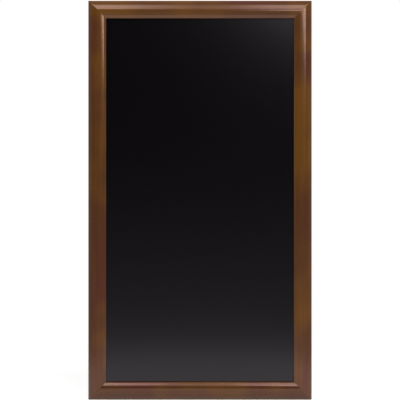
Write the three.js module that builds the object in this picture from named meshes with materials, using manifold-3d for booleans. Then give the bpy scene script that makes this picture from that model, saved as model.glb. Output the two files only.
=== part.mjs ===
// Wall chalkboard in a stained wooden frame. It hangs upright on the two D-rings of its top rail,
// or sideways on the two of its left stile.
// Millimetres, +Z up, X to the right as the writer sees it, and the writing face towards -Y.
// The origin is the middle of the board on the plane of the wall, which the bumpers touch.
import * as THREE from "three";
import { mergeVertices } from "three/addons/utils/BufferGeometryUtils.js";
import Module from "manifold-3d";

// Overall size of the frame, over the outer edges of its rails
const BOARD_WIDTH = 560;
const BOARD_HEIGHT = 1000;

// Moulding that all four rails are cut from
const RAIL_WIDTH = 45; // across the face, from outer edge to sight edge
const RAIL_DEPTH = 20; // from the flat back to the crest
const EDGE_HEIGHT = 6.7; // from the back to where the outer slope would meet the outer side
const CREST_PLACE_SHARE = 0.62; // where the crest lies across the face
const EDGE_RADIUS = 3; // rounding between the outer side and the outer slope
const SIGHT_RADIUS = 1.2; // rounding of the sight edge
const LIP_THICKNESS = 6.4; // wood in front of the panel at the sight edge
const REBATE_WIDTH = 8; // how far the rebate runs in behind the lip
const GLUE_LINE = 0.2; // between the two faces of a mitre

// Writing panel
const SHEET_THICKNESS = 0.8; // black writing sheet
const CORE_THICKNESS = 2.5; // hardboard behind it
const PANEL_PLAY = 1; // between the edge of the panel and the wall of the rebate
const LAYER_GAP = 0.1; // in front of the sheet, behind it, and behind the hardboard

// Flat steel points that hold the panel in its rebate
const POINT_THICKNESS = 0.6;
const POINT_WIDTH = 6;
const POINT_LENGTH = 15;
const POINT_BITE = 7; // length that is driven into the wood
const POINT_TIP = 3; // length of the tapered tip
const POINT_TAIL_CORNER = 1; // cut off each corner of the other end
const POINT_DEPTH = 2.6; // from the back of the frame to the points
const SHORT_RAIL_POINT_SHARES = [-0.36, 0, 0.36]; // of the rail's length, from its middle
const LONG_RAIL_POINT_SHARES = [-0.36, -0.18, 0, 0.18, 0.36];

// V-nails driven across each mitre from the back
const NAIL_THICKNESS = 0.6;
const NAIL_HEIGHT = 10;
const NAIL_LEG = 5.5; // from the fold to the start of the hook
const NAIL_HOOK = 1.4; // bent-out end of each leg
const NAIL_SET = 0.5; // how far the nail is sunk below the back
const NAIL_PLACE_SHARES = { outer: 0.31, inner: 0.66 }; // of the face width, from the outer edge

// Strap hangers, each with a swinging wire ring
const STRAP_GAUGE = 0.9; // steel strip, folded double round the bar of the ring
const STRAP_WIDTH = 11;
const STRAP_REACH = 18; // from the bar of the ring to the end of the tongue
const STRAP_LAYER_GAP = 0.15; // between the two layers of the tongue
const STRAP_CORNER_RADIUS = 4; // of the tongue's two corners
const FOLD_DEGREES = 40; // how steeply the outer layer comes down from the fold
const WIRE_DIAMETER = 2;
const BAR_PLAY = 0.2; // round the bar, inside the folded strap
const RING_WIDTH = 16; // between the middles of the ring's two legs
const RING_DEPTH = 13; // from the middle of the bar to the middle of the bow
const RING_CORNER_RADIUS = 2;
const RING_BUTT_GAP = 0.5; // between the two ends of the wire, hidden in the fold
const HANGER_PLACE_SHARE = 0.27; // of the rail's length, each side of its middle

// Pan-head screws of the hangers
const SCREW_HEAD_DIAMETER = 5.6;
const SCREW_HEAD_HEIGHT = 1.9;
const SCREW_HEAD_RIM = 0.6; // straight side under the dome of the head
const SCREW_SHANK_DIAMETER = 2.6;
const SCREW_LENGTH = 13; // from the tip to the underside of the head
const SCREW_POINT = 3; // length of the tapered tip
const RECESS_WIDTH = 0.8; // each arm of the cross recess
const RECESS_SPAN = 3;
const RECESS_DEPTH = 1.1;

// Rubber bumpers, which keep the hangers off the wall
const BUMPER_DIAMETER = 11;
const BUMPER_FACE_DIAMETER = 10;
const BUMPER_HEIGHT = 5;
const BUMPER_EDGE_RADIUS = 1;
const BUMPER_PLACE_SHARE = 0.43; // of the stile's length, each side of its middle

// Clearances
const SEAT_GAP = 0.3; // round what is driven into the wood, and between the ring and its two stops
const CUT_OVERRUN = 1; // how far a cut runs past the face that it opens

// Facets
const SLOPE_STEPS = 14;
const ROUNDING_STEPS = 4;
const FOLD_STEPS = 12;
const TURNED_SIDES = 24;
const WIRE_SIDES = 8;
const WIRE_STEPS = 44;

// Places that follow from the sizes
const BACK_FLAT = RAIL_WIDTH - REBATE_WIDTH;
const PANEL_INSET = BACK_FLAT + PANEL_PLAY;
const PANEL_STACK = SHEET_THICKNESS + CORE_THICKNESS + 3 * LAYER_GAP;
const REBATE_DEPTH = POINT_DEPTH + POINT_THICKNESS + PANEL_STACK;
const WIRE_RADIUS = WIRE_DIAMETER / 2;
const FOLD_BORE_RADIUS = WIRE_RADIUS + BAR_PLAY;
const FOLD_RADIUS = FOLD_BORE_RADIUS + STRAP_GAUGE; // which is also the height of the bar
const STRAP_THICKNESS = 2 * STRAP_GAUGE + STRAP_LAYER_GAP;
const RING_REACH = RING_DEPTH + WIRE_RADIUS;
const RING_LEG = RING_DEPTH - RING_WIDTH / 2; // from the bar to the start of the bow
const RING_TILT = Math.asin((FOLD_RADIUS - WIRE_RADIUS - SEAT_GAP) / RING_DEPTH); // leans on the wood
const HANGER_PLACE = (BACK_FLAT + RING_REACH - STRAP_REACH) / 2; // of the bar, from the outer edge
const SCREW_PLACE = (FOLD_RADIUS + RING_DEPTH) / 2; // from the bar, inside the ring when it is folded

const wasm = await Module();
wasm.setup();

const stainedWood = new THREE.MeshStandardMaterial({ color: 0x6a4325, roughness: 0.35, metalness: 0 });
const writingBlack = new THREE.MeshStandardMaterial({ color: 0x121214, roughness: 0.4, metalness: 0 });
const hardboard = new THREE.MeshStandardMaterial({ color: 0x7d5a3a, roughness: 0.8, metalness: 0 });
const springSteel = new THREE.MeshStandardMaterial({ color: 0x8e9092, roughness: 0.4, metalness: 1 });
const zincPlate = new THREE.MeshStandardMaterial({ color: 0xc2c4c6, roughness: 0.3, metalness: 1 });
const blackRubber = new THREE.MeshStandardMaterial({ color: 0x262626, roughness: 0.8, metalness: 0 });

// Points along an arc, both ends included. Angles are in radians, and run either way round.
function arc(centreX, centreY, radius, from, to, steps) {
  const points = [];
  for (let i = 0; i <= steps; i++) {
    const angle = from + ((to - from) * i) / steps;
    points.push(new THREE.Vector2(centreX + radius * Math.cos(angle), centreY + radius * Math.sin(angle)));
  }
  return points;
}

// Outline of a bent strip, with half its thickness on each side of its middle line.
function stripShape(line, thickness) {
  const normals = line.slice(1).map((end, i) => {
    const run = end.clone().sub(line[i]).normalize();
    return new THREE.Vector2(-run.y, run.x);
  });
  const side = (offset) =>
    line.map((point, i) => {
      const before = normals[Math.max(i - 1, 0)];
      const after = normals[Math.min(i, normals.length - 1)];
      return point.clone().addScaledVector(before.clone().add(after), offset / (1 + before.dot(after)));
    });
  return new THREE.Shape([...side(thickness / 2), ...side(-thickness / 2).reverse()]);
}

// A flat shape in x and -z, given its thickness along y from the height of its lower face.
function plate(shape, bottom, thickness) {
  const geometry = new THREE.ExtrudeGeometry(shape, { depth: thickness, bevelEnabled: false });
  geometry.rotateX(-Math.PI / 2);
  geometry.translate(0, bottom, 0);
  return geometry;
}

// A round cutting tool along y.
function drill(diameter, bottom, top, x, z) {
  const tool = new THREE.CylinderGeometry(diameter / 2, diameter / 2, top - bottom, TURNED_SIDES);
  tool.translate(x, (top + bottom) / 2, z);
  return tool;
}

// A closed geometry as a solid that can be cut.
function solidOf(geometry) {
  const bare = new THREE.BufferGeometry();
  bare.setAttribute("position", geometry.getAttribute("position"));
  bare.setIndex(geometry.index);
  const merged = mergeVertices(bare);
  return new wasm.Manifold(
    new wasm.Mesh({
      numProp: 3,
      vertProperties: new Float32Array(merged.getAttribute("position").array),
      triVerts: new Uint32Array(merged.index.array),
    }),
  );
}

function geometryOf(solid) {
  const mesh = solid.getMesh();
  const geometry = new THREE.BufferGeometry();
  geometry.setAttribute("position", new THREE.BufferAttribute(mesh.vertProperties, mesh.numProp));
  geometry.setIndex(new THREE.BufferAttribute(mesh.triVerts, 1));
  geometry.computeVertexNormals();
  return geometry;
}

function cut(blank, tools) {
  let solid = solidOf(blank);
  for (const tool of tools) solid = solid.subtract(solidOf(tool));
  return geometryOf(solid);
}

function add(parent, name, geometry, material) {
  const mesh = new THREE.Mesh(geometry, material);
  mesh.name = name;
  parent.add(mesh);
  return mesh;
}

// Each rail, and what is fixed to it, is laid out in the rail's own frame: x runs inwards across its
// face from the outer edge, y runs from its flat back towards the wall, and z along it from its middle.

// Section of the moulding, with its heights above the back. A long slope falls away outside the crest
// and a shorter, rounder one inside it, and the rebate is cut behind the sight edge.
function mouldingOutline() {
  const outerRun = CREST_PLACE_SHARE * RAIL_WIDTH;
  const outerDrop = RAIL_DEPTH - EDGE_HEIGHT;
  const outerRadius = (outerRun ** 2 + outerDrop ** 2) / (2 * outerDrop);
  const outerCentre = RAIL_DEPTH - outerRadius;
  const innerRun = RAIL_WIDTH - outerRun;
  const innerDrop = RAIL_DEPTH - REBATE_DEPTH - LIP_THICKNESS;
  const innerRadius = (innerRun ** 2 + innerDrop ** 2) / (2 * innerDrop);
  const innerCentre = RAIL_DEPTH - innerRadius;
  // Each rounding touches its straight side and, from inside, the slope that it ends.
  const edgeRise = Math.sqrt((outerRadius - EDGE_RADIUS) ** 2 - (outerRun - EDGE_RADIUS) ** 2);
  const edgeTurn = Math.atan2(edgeRise, EDGE_RADIUS - outerRun);
  const sightX = RAIL_WIDTH - SIGHT_RADIUS;
  const sightRise = Math.sqrt((innerRadius - SIGHT_RADIUS) ** 2 - (innerRun - SIGHT_RADIUS) ** 2);
  const sightTurn = Math.atan2(sightRise, innerRun - SIGHT_RADIUS);
  return [
    new THREE.Vector2(0, 0),
    ...arc(EDGE_RADIUS, outerCentre + edgeRise, EDGE_RADIUS, Math.PI, edgeTurn, ROUNDING_STEPS),
    ...arc(outerRun, outerCentre, outerRadius, edgeTurn, Math.PI / 2, SLOPE_STEPS).slice(1),
    ...arc(outerRun, innerCentre, innerRadius, Math.PI / 2, sightTurn, SLOPE_STEPS).slice(1),
    ...arc(sightX, innerCentre + sightRise, SIGHT_RADIUS, sightTurn, 0, ROUNDING_STEPS).slice(1),
    new THREE.Vector2(RAIL_WIDTH, REBATE_DEPTH),
    new THREE.Vector2(BACK_FLAT, REBATE_DEPTH),
    new THREE.Vector2(BACK_FLAT, 0),
  ];
}

// The moulding cut to length between two mitres.
function mitredBlank(length) {
  const section = new THREE.Shape(mouldingOutline().map((point) => new THREE.Vector2(point.x, -point.y)));
  const blank = new THREE.ExtrudeGeometry(section, { depth: length, bevelEnabled: false });
  const corners = blank.getAttribute("position");
  const shortening = GLUE_LINE / Math.SQRT2;
  for (let i = 0; i < corners.count; i++) {
    const end = corners.getZ(i) > length / 2 ? 1 : -1;
    corners.setZ(i, end * (length / 2 - corners.getX(i) - shortening));
  }
  return blank;
}

// A V-nail, or with a gap the slot that takes it. Its fold points inwards along the mitre, and each
// leg crosses the grain of one of the two rails.
function vNail(gap, top) {
  const turn = (NAIL_HOOK + gap) / Math.SQRT2; // the hooks are bent out by 45 degrees
  const line = [
    new THREE.Vector2(-NAIL_LEG - turn, turn),
    new THREE.Vector2(-NAIL_LEG, 0),
    new THREE.Vector2(0, 0),
    new THREE.Vector2(0, -NAIL_LEG),
    new THREE.Vector2(turn, -NAIL_LEG - turn),
  ];
  const bottom = -NAIL_SET - NAIL_HEIGHT - gap;
  return plate(stripShape(line, NAIL_THICKNESS + 2 * gap), bottom, top - bottom);
}

// The slots for the V-nails at both ends of a rail.
function vNailSlots(length) {
  const slots = [];
  for (const share of Object.values(NAIL_PLACE_SHARES)) {
    const place = share * RAIL_WIDTH;
    const far = vNail(SEAT_GAP, CUT_OVERRUN);
    far.translate(place, 0, length / 2 - place);
    const near = vNail(SEAT_GAP, CUT_OVERRUN);
    near.rotateY(-Math.PI / 2);
    near.translate(place, 0, place - length / 2);
    slots.push(far, near);
  }
  return slots;
}

// A flat point, from its tapered tip in the wood to its tail over the panel.
function framersPoint() {
  const half = POINT_WIDTH / 2;
  const shoulder = POINT_LENGTH - POINT_TAIL_CORNER;
  const outline = [
    new THREE.Vector2(0, 0),
    new THREE.Vector2(POINT_TIP, -half),
    new THREE.Vector2(shoulder, -half),
    new THREE.Vector2(POINT_LENGTH, POINT_TAIL_CORNER - half),
    new THREE.Vector2(POINT_LENGTH, half - POINT_TAIL_CORNER),
    new THREE.Vector2(shoulder, half),
    new THREE.Vector2(POINT_TIP, half),
  ];
  const point = plate(new THREE.Shape(outline), -POINT_DEPTH - POINT_THICKNESS, POINT_THICKNESS);
  point.translate(BACK_FLAT - POINT_BITE, 0, 0);
  return point;
}

function pointSlot(z) {
  const length = POINT_BITE + SEAT_GAP + CUT_OVERRUN;
  const slot = new THREE.BoxGeometry(length, POINT_THICKNESS + 2 * SEAT_GAP, POINT_WIDTH + 2 * SEAT_GAP);
  slot.translate(BACK_FLAT + CUT_OVERRUN - length / 2, -POINT_DEPTH - POINT_THICKNESS / 2, z);
  return slot;
}

// A rail with the slots and holes for everything that is driven into it.
function rail({ length, pointShares, hangers }) {
  const holeDiameter = SCREW_SHANK_DIAMETER + 2 * SEAT_GAP;
  const holeBottom = STRAP_THICKNESS - SCREW_LENGTH - SEAT_GAP;
  const holeX = HANGER_PLACE + SCREW_PLACE;
  const tools = vNailSlots(length);
  for (const share of pointShares) tools.push(pointSlot(share * length));
  for (const side of Object.values(hangers)) {
    tools.push(drill(holeDiameter, holeBottom, CUT_OVERRUN, holeX, side * HANGER_PLACE_SHARE * length));
  }
  return cut(mitredBlank(length), tools);
}

// What is cut off one corner of the strap's tongue to round it.
function tongueCorner(side) {
  const radius = STRAP_CORNER_RADIUS;
  const centreX = STRAP_REACH - radius;
  const centreZ = STRAP_WIDTH / 2 - radius;
  const outline = [
    ...arc(centreX, centreZ, radius, 0, Math.PI / 2, ROUNDING_STEPS),
    new THREE.Vector2(centreX, centreZ + radius + CUT_OVERRUN),
    new THREE.Vector2(STRAP_REACH + CUT_OVERRUN, centreZ + radius + CUT_OVERRUN),
    new THREE.Vector2(STRAP_REACH + CUT_OVERRUN, centreZ),
  ];
  const shape = new THREE.Shape(outline.map((point) => new THREE.Vector2(point.x, side * point.y)));
  return plate(shape, -CUT_OVERRUN, STRAP_THICKNESS + 2 * CUT_OVERRUN);
}

// The strap of a hanger, with the bar of its ring over its origin. One strip runs in along the wood,
// round the bar, down again at a slant and out along its own back.
function strap() {
  const innerLayer = STRAP_GAUGE / 2;
  const outerLayer = STRAP_THICKNESS - STRAP_GAUGE / 2;
  const fold = THREE.MathUtils.degToRad(FOLD_DEGREES);
  const aroundBar = arc(0, FOLD_RADIUS, FOLD_RADIUS - innerLayer, (3 * Math.PI) / 2, fold, FOLD_STEPS);
  const leaves = aroundBar.at(-1);
  const line = [
    new THREE.Vector2(STRAP_REACH, innerLayer),
    ...aroundBar,
    new THREE.Vector2(leaves.x + (leaves.y - outerLayer) * Math.tan(fold), outerLayer),
    new THREE.Vector2(STRAP_REACH, outerLayer),
  ];
  const shape = stripShape(line, STRAP_GAUGE);
  const strip = new THREE.ExtrudeGeometry(shape, { depth: STRAP_WIDTH, bevelEnabled: false });
  strip.translate(0, 0, -STRAP_WIDTH / 2);
  const holeDiameter = SCREW_SHANK_DIAMETER + 2 * SEAT_GAP;
  const screwHole = drill(holeDiameter, -CUT_OVERRUN, STRAP_THICKNESS + CUT_OVERRUN, SCREW_PLACE, 0);
  return cut(strip, [screwHole, tongueCorner(1), tongueCorner(-1)]);
}

// The middle line of the ring's wire: half of the bar, a leg, the bow, the other leg and the rest of
// the bar. The bow lies towards -x.
class RingCurve extends THREE.Curve {
  constructor() {
    super();
    const half = RING_WIDTH / 2;
    const corner = RING_CORNER_RADIUS;
    this.path = new THREE.Path();
    this.path.moveTo(0, RING_BUTT_GAP / 2);
    this.path.lineTo(0, half - corner);
    this.path.absarc(-corner, half - corner, corner, 0, Math.PI / 2);
    this.path.lineTo(-RING_LEG, half);
    this.path.absarc(-RING_LEG, 0, half, Math.PI / 2, (3 * Math.PI) / 2);
    this.path.lineTo(-corner, -half);
    this.path.absarc(-corner, corner - half, corner, -Math.PI / 2, 0);
    this.path.lineTo(0, -RING_BUTT_GAP / 2);
  }

  getPoint(share, target = new THREE.Vector3()) {
    const point = this.path.getPoint(share);
    return target.set(point.x, 0, point.y);
  }
}

function ring() {
  const section = new THREE.Shape().absarc(0, 0, WIRE_RADIUS, 0, 2 * Math.PI);
  return new THREE.ExtrudeGeometry(section, {
    curveSegments: WIRE_SIDES / 2,
    steps: WIRE_STEPS,
    extrudePath: new RingCurve(),
  });
}

// A pan-head screw with a cross recess. The underside of its head is at y = 0.
function screw() {
  const head = SCREW_HEAD_DIAMETER / 2;
  const shank = SCREW_SHANK_DIAMETER / 2;
  const domeRise = SCREW_HEAD_HEIGHT - SCREW_HEAD_RIM;
  const domeRadius = (head ** 2 + domeRise ** 2) / (2 * domeRise);
  const domeCentre = SCREW_HEAD_HEIGHT - domeRadius;
  const rimTurn = Math.atan2(SCREW_HEAD_RIM - domeCentre, head);
  const profile = [
    new THREE.Vector2(0, -SCREW_LENGTH),
    new THREE.Vector2(shank, SCREW_POINT - SCREW_LENGTH),
    new THREE.Vector2(shank, 0),
    new THREE.Vector2(head, 0),
    ...arc(0, domeCentre, domeRadius, rimTurn, Math.PI / 2, ROUNDING_STEPS).slice(0, -1),
    new THREE.Vector2(0, SCREW_HEAD_HEIGHT),
  ];
  const arms = [
    new THREE.BoxGeometry(RECESS_SPAN, 2 * RECESS_DEPTH, RECESS_WIDTH),
    new THREE.BoxGeometry(RECESS_WIDTH, 2 * RECESS_DEPTH, RECESS_SPAN),
  ];
  for (const arm of arms) arm.translate(0, SCREW_HEAD_HEIGHT, 0);
  return cut(new THREE.LatheGeometry(profile, TURNED_SIDES), arms);
}

// A moulded bumper, standing on the wood.
function bumper() {
  const edge = BUMPER_EDGE_RADIUS;
  const edgeX = BUMPER_FACE_DIAMETER / 2 - edge;
  const profile = [
    new THREE.Vector2(0, 0),
    new THREE.Vector2(BUMPER_DIAMETER / 2, 0),
    ...arc(edgeX, BUMPER_HEIGHT - edge, edge, 0, Math.PI / 2, ROUNDING_STEPS),
    new THREE.Vector2(0, BUMPER_HEIGHT),
  ];
  return new THREE.LatheGeometry(profile, TURNED_SIDES);
}

// A hanger on the back of its rail, with its ring leaning outwards on the wood, as it hangs.
function addHanger(parent, name, z) {
  const hanger = new THREE.Group();
  hanger.position.set(HANGER_PLACE, 0, z);
  parent.add(hanger);
  add(hanger, `${name}_strap`, strap(), zincPlate);
  const wire = add(hanger, `${name}_ring`, ring(), zincPlate);
  wire.position.y = FOLD_RADIUS;
  wire.rotation.z = RING_TILT;
  add(hanger, `${name}_screw`, screw(), zincPlate).position.set(SCREW_PLACE, STRAP_THICKNESS, 0);
}

// The four rails, clockwise from the left as the writer sees them. Each is turned about y by a
// quarter turn more than the last, and ends, at its far end, in the corner that it names. The places
// of hangers and bumpers give the side of the rail's middle that each one lies on.
const RAILS = [
  {
    name: "left_stile",
    corner: "top_left",
    length: BOARD_HEIGHT,
    outwards: [-1, 0],
    pointShares: LONG_RAIL_POINT_SHARES,
    hangers: { side_lower_hanger: -1, side_upper_hanger: 1 },
    bumpers: { lower_left_bumper: -1, upper_left_bumper: 1 },
  },
  {
    name: "top_rail",
    corner: "top_right",
    length: BOARD_WIDTH,
    outwards: [0, 1],
    pointShares: SHORT_RAIL_POINT_SHARES,
    hangers: { top_left_hanger: -1, top_right_hanger: 1 },
    bumpers: {},
  },
  {
    name: "right_stile",
    corner: "bottom_right",
    length: BOARD_HEIGHT,
    outwards: [1, 0],
    pointShares: LONG_RAIL_POINT_SHARES,
    hangers: {},
    bumpers: { upper_right_bumper: -1, lower_right_bumper: 1 },
  },
  {
    name: "bottom_rail",
    corner: "bottom_left",
    length: BOARD_WIDTH,
    outwards: [0, -1],
    pointShares: SHORT_RAIL_POINT_SHARES,
    hangers: {},
    bumpers: {},
  },
];

const board = new THREE.Group();

RAILS.forEach((layout, quarterTurns) => {
  const side = new THREE.Group();
  const [outX, outZ] = layout.outwards;
  side.position.set((outX * BOARD_WIDTH) / 2, -BUMPER_HEIGHT, (outZ * BOARD_HEIGHT) / 2);
  side.rotation.y = (quarterTurns * Math.PI) / 2;
  board.add(side);
  add(side, layout.name, rail(layout), stainedWood);
  for (const [name, share] of Object.entries(NAIL_PLACE_SHARES)) {
    const place = share * RAIL_WIDTH;
    const nail = add(side, `${layout.corner}_${name}_v_nail`, vNail(0, -NAIL_SET), springSteel);
    nail.position.set(place, 0, layout.length / 2 - place);
  }
  layout.pointShares.forEach((share, i) => {
    const point = add(side, `${layout.name}_point_${i + 1}`, framersPoint(), springSteel);
    point.position.z = share * layout.length;
  });
  for (const [name, end] of Object.entries(layout.hangers)) {
    addHanger(side, name, end * HANGER_PLACE_SHARE * layout.length);
  }
  for (const [name, end] of Object.entries(layout.bumpers)) {
    const foot = add(side, name, bumper(), blackRubber);
    foot.position.set(BACK_FLAT / 2, 0, end * BUMPER_PLACE_SHARE * layout.length);
  }
});

const panelWidth = BOARD_WIDTH - 2 * PANEL_INSET;
const panelHeight = BOARD_HEIGHT - 2 * PANEL_INSET;
const sheetBack = -BUMPER_HEIGHT - REBATE_DEPTH + LAYER_GAP + SHEET_THICKNESS;
const sheet = new THREE.BoxGeometry(panelWidth, SHEET_THICKNESS, panelHeight);
const core = new THREE.BoxGeometry(panelWidth, CORE_THICKNESS, panelHeight);
add(board, "writing_sheet", sheet, writingBlack).position.y = sheetBack - SHEET_THICKNESS / 2;
add(board, "hardboard_core", core, hardboard).position.y = sheetBack + LAYER_GAP + CORE_THICKNESS / 2;

export default board;
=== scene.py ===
"""Wall chalkboard: the finished surfaces of its pieces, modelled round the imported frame.

The rails, and what sits on them or in them, are made in the rail's own frame, in which x runs inwards
from its outer edge, y from its flat back towards the wall and z along it. Each piece is then seated on
the node it stands for. The two boards of the writing panel are made in place.
"""

import math

import bmesh
import bpy
from bpy.props import FloatProperty, FloatVectorProperty, IntProperty, PointerProperty
from mathutils import Matrix, Vector


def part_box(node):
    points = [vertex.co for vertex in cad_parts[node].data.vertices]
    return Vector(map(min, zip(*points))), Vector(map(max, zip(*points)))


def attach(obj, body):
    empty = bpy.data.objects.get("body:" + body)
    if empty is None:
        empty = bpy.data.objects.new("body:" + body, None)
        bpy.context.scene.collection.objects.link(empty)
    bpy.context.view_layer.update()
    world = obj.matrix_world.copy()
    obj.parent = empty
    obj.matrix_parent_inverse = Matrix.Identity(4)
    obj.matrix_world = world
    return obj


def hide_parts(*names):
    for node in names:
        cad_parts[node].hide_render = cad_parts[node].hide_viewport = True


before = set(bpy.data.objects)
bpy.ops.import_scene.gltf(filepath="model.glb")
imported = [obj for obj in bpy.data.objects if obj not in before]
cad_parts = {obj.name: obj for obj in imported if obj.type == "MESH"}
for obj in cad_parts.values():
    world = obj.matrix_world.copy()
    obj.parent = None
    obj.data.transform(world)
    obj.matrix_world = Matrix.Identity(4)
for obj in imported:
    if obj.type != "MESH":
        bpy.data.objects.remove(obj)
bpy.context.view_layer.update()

bl_info = {
    "name": "Wall Chalkboard",
    "version": (1, 0, 0),
    "blender": (4, 5, 0),
    "location": "View3D > Sidebar > Chalkboard",
    "description": "Models a wall chalkboard with a mitred wooden frame, its hangers and its studio",
    "category": "Add Mesh",
}

MM = 0.001

# Places that the frame gives
HALF_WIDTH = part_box("right_stile")[1].x
HALF_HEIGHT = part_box("top_rail")[1].z
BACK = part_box("top_rail")[1].y
RAIL_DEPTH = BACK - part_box("top_rail")[0].y
RAIL_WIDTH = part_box("left_stile")[1].x + HALF_WIDTH

# Each rail, with the quarter turns about y that bring its own frame into place
QUARTER_TURNS = {"left_stile": 0, "top_rail": 1, "right_stile": 2, "bottom_rail": 3}
# The corner at the far end of each rail, whose V-nails lie in that rail's frame
CORNERS = {"left_stile": "top_left", "top_rail": "top_right", "right_stile": "bottom_right",
           "bottom_rail": "bottom_left"}
HANGERS = {"top_left_hanger": "top_rail", "top_right_hanger": "top_rail",
           "side_lower_hanger": "left_stile", "side_upper_hanger": "left_stile"}
BUMPERS = ("upper_left_bumper", "lower_left_bumper", "upper_right_bumper", "lower_right_bumper")
SEAT_TOLERANCE = 0.3 * MM  # how far a corner of a piece's box may be from that of its node
SAME_PLACE = 0.001 * MM  # points nearer to each other than this are one
SEAM_GAP = 0.005 * MM  # what a full spin may leave between the two sides of its seam
ON_END = 0.01 * MM  # within this, a point counts as lying at an end or on an axis
EDGE_STEPS = 2  # facets of each broken edge
SHARP_ANGLE = math.radians(50)  # edges from this angle on stay sharp


def linear(text):
    """An sRGB colour, written as six hex digits, as the linear values that shaders take."""
    channels = [int(text[i:i + 2], 16) / 255 for i in (0, 2, 4)]
    return [c / 12.92 if c <= 0.04045 else ((c + 0.055) / 1.055) ** 2.4 for c in channels]


def length_property(name, description, millimetres):
    return FloatProperty(name=name, description=description, default=millimetres * MM, min=0,
                         unit="LENGTH")


def colour_property(name, description, text):
    return FloatVectorProperty(name=name, description=description, default=linear(text), size=3,
                               min=0, max=1, subtype="COLOR")


class MouldingSizes(bpy.types.PropertyGroup):
    """Section of the wooden moulding and how its mitres are eased"""
    crest_share: FloatProperty(
        name="Crest Place", description="Place of the crest across the face, from the outer edge",
        default=0.62, min=0.3, max=0.8, subtype="FACTOR")
    edge_height: length_property(
        "Edge Height", "From the back to where the outer slope would meet the side", 6.7)
    edge_radius: length_property("Edge Radius", "Between the outer side and the outer slope", 3)
    lip_thickness: length_property("Lip Thickness", "Wood in front of the panel", 6.4)
    sight_radius: length_property("Sight Radius", "Rounding of the sight edge", 1.2)
    rebate_width: length_property("Rebate Width", "How far the rebate runs in behind the lip", 8)
    rebate_depth: length_property("Rebate Depth", "From the back to the bed of the panel", 6.8)
    arris_radius: length_property("Arris Radius", "Rounding of the edges on the back", 0.5)
    mitre_radius: length_property("Mitre Easing", "Rounding of the ridge where rails meet", 5)
    mitre_gap: length_property("Mitre Gap", "Hairline that the glue leaves between two rails", 0.02)
    slope_steps: IntProperty(
        name="Slope Steps", description="Facets of each slope of the moulding", default=40, min=6)
    rounding_steps: IntProperty(
        name="Rounding Steps", description="Facets of each small rounding", default=8, min=2)


class HardwareSizes(bpy.types.PropertyGroup):
    """Steel and rubber pieces on the back and in the wood"""
    tool_gap: length_property("Cut Gap", "Between driven steel and the wood round it", 0.12)
    steel_edge: length_property("Steel Edge", "Rounding of stamped steel edges", 0.12)
    point_tip: length_property("Point Tip", "Length of a framer's point's taper", 3)
    point_corner: length_property("Point Corner", "Cut off each corner of its tail", 1)
    nail_thickness: length_property("V-Nail Gauge", "Thickness of a V-nail", 0.6)
    nail_leg: length_property("V-Nail Leg", "From its fold to the start of its hook", 5.5)
    nail_hook: length_property("V-Nail Hook", "Length of its bent end", 1.4)
    nail_fold_radius: length_property("V-Nail Fold", "Middle radius of its fold", 0.7)
    strap_gauge: length_property("Strap Gauge", "Thickness of the folded strip", 0.9)
    strap_reach: length_property("Strap Reach", "From the ring's bar to the tongue's end", 18)
    strap_gap: length_property("Strap Gap", "Between the two layers of the tongue", 0.15)
    strap_corner: length_property("Strap Corner", "Radius of the tongue's corners", 4)
    strap_bend: length_property("Strap Bend", "Middle radius where the outer layer lies down", 1.5)
    fold_angle: FloatProperty(
        name="Fold Angle", description="How steeply the outer layer comes down from the bar",
        default=math.radians(40), subtype="ANGLE")
    wire_diameter: length_property("Wire Diameter", "Of the swinging ring", 2)
    bar_play: length_property("Bar Play", "Round the ring's bar inside the strap", 0.2)
    ring_width: length_property("Ring Width", "Between the middles of its legs", 16)
    ring_depth: length_property("Ring Depth", "From the middle of its bar to its bow", 13)
    ring_corner: length_property("Ring Corner", "Bend between its bar and a leg", 2)
    ring_rest_gap: length_property("Ring Rest Gap", "Between the leaning ring and the wood", 0.3)
    ring_butt_gap: length_property("Ring Butt Gap", "Between the ends of its wire", 0.5)
    wire_end: length_property("Wire End", "Rounding of the wire's cut ends", 0.15)
    screw_head: length_property("Screw Head", "Diameter of the pan head", 5.6)
    screw_rim: length_property("Screw Rim", "Straight side under its dome", 0.6)
    screw_edge: length_property("Screw Edge", "Broken edge under the head", 0.2)
    screw_shank: length_property("Screw Shank", "Diameter over the thread", 2.6)
    screw_core: length_property("Screw Core", "Diameter under the thread", 1.9)
    screw_pitch: length_property("Screw Pitch", "Between two turns of the thread", 1.1)
    screw_length: length_property("Screw Length", "From its tip to its head", 13)
    screw_point: length_property("Screw Point", "Length of its taper", 3)
    screw_plain: length_property("Screw Plain", "Shank without thread under its head", 2.5)
    recess_width: length_property("Recess Width", "Of each arm of the cross", 0.8)
    recess_span: length_property("Recess Span", "Across the cross", 3)
    recess_depth: length_property("Recess Depth", "Of the cross", 1.1)
    bumper_face: length_property("Bumper Face", "Diameter of the face", 10)
    bumper_edge: length_property("Bumper Edge", "Rounding round the face", 1)
    foot_edge: length_property("Foot Edge", "Broken edge of its foot", 0.15)
    foot_spread: length_property("Foot Spread", "How far the foot stands out all round", 0.05)
    foot_height: length_property("Foot Height", "From the wood to where the foot ends", 0.6)
    turned_steps: IntProperty(
        name="Turned Steps", description="Facets round what is turned", default=48, min=12)
    wire_steps: IntProperty(
        name="Wire Steps", description="Facets round the ring's wire", default=20, min=8)


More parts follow.
